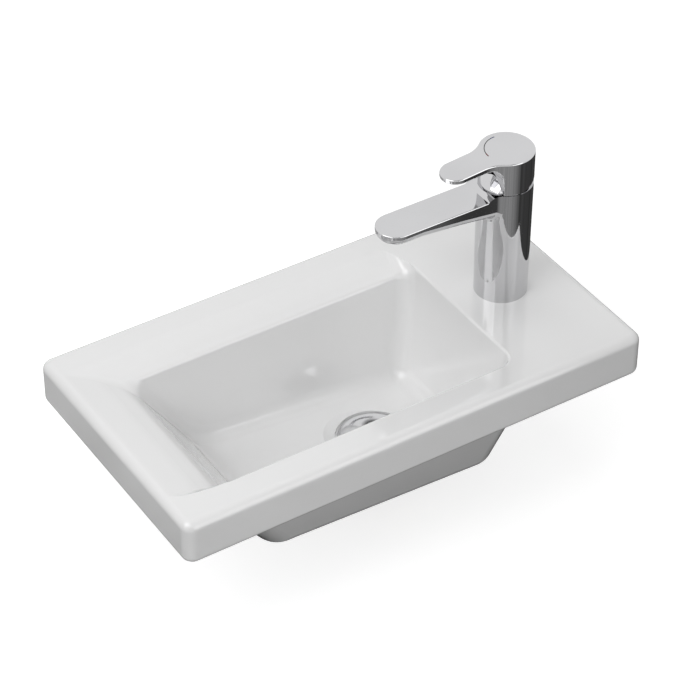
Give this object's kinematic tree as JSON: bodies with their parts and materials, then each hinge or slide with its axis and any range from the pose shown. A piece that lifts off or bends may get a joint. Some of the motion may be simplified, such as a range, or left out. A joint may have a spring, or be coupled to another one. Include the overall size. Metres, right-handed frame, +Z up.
{
  "type": "inset basin with mixer tap",
  "caption": "Compact rectangular glazed basin with a slab rim, a side shelf with a single-lever mixer tap, and an open metal waste.",
  "frame": {"origin": "middle of the basin's back edge, at the level of the slab rim's underside", "axes": "+X to the right, seen from the front, -Y to the front, +Z up"},
  "size_m": [0.45, 0.248, 0.3059],
  "materials": {
    "glaze": "white vitreous glaze, glossy, light grey-white",
    "chrome": "polished chrome plate",
    "rubber": "black sealing rubber",
    "washer_plastic": "off-white slip washer",
    "brass": "machined brass",
    "steel": "zinc-plated steel",
    "insert_plastic": "light moulded plastic",
    "disc_ceramic": "lapped ceramic disc",
    "rotor_plastic": "dark grey moulded plastic",
    "hot_enamel": "dark red enamel",
    "cold_enamel": "dark blue enamel"
  },
  "bodies": {
    "basin_and_tap": {"basin": "glaze", "waste_flange": "chrome", "waste_top_seal": "rubber", "waste_lower_seal": "rubber", "waste_washer": "washer_plastic", "waste_backnut": "brass", "tap_body": "chrome", "tap_base_gasket": "rubber", "mounting_stud": "steel", "horseshoe_seal": "rubber", "horseshoe_washer": "steel", "stud_nut": "brass", "aerator_housing": "chrome", "aerator_insert": "insert_plastic", "aerator_seal": "rubber", "cartridge_seals": "rubber", "cartridge_base": "insert_plastic", "fixed_disc": "disc_ceramic", "cartridge_housing": "insert_plastic", "cartridge_nut": "brass", "cartridge_cap": "chrome"},
    "rotor": {"cartridge_rotor": "rotor_plastic", "stem_pin": "steel"},
    "lever": {"cartridge_stem": "brass", "lever_handle": "chrome", "handle_screw": "steel", "screw_plug": "rotor_plastic", "hot_mark": "hot_enamel", "cold_mark": "cold_enamel"},
    "disc": {"moving_disc": "disc_ceramic", "disc_carrier": "insert_plastic"}
  },
  "joints": [
    {"name": "lever_turn", "type": "hinge", "parent": "basin_and_tap", "child": "rotor", "pos_m": [0.16, -0.1275, 0.146], "axis": [0, 0, 1], "range_deg": [-45, 45]},
    {"name": "lever_lift", "type": "hinge", "parent": "rotor", "child": "lever", "pos_m": [0.16, -0.1275, 0.146], "axis": [0, 1, 0], "range_deg": [0, 15]},
    {"name": "disc_slide", "type": "slide", "parent": "rotor", "child": "disc", "axis": [-1, 0, 0], "range_m": [0, 0.0047]}
  ],
  "couplings": [
    {"joint": "disc_slide", "follows": "lever_lift", "m_per_rad": 0.0178}
  ]
}
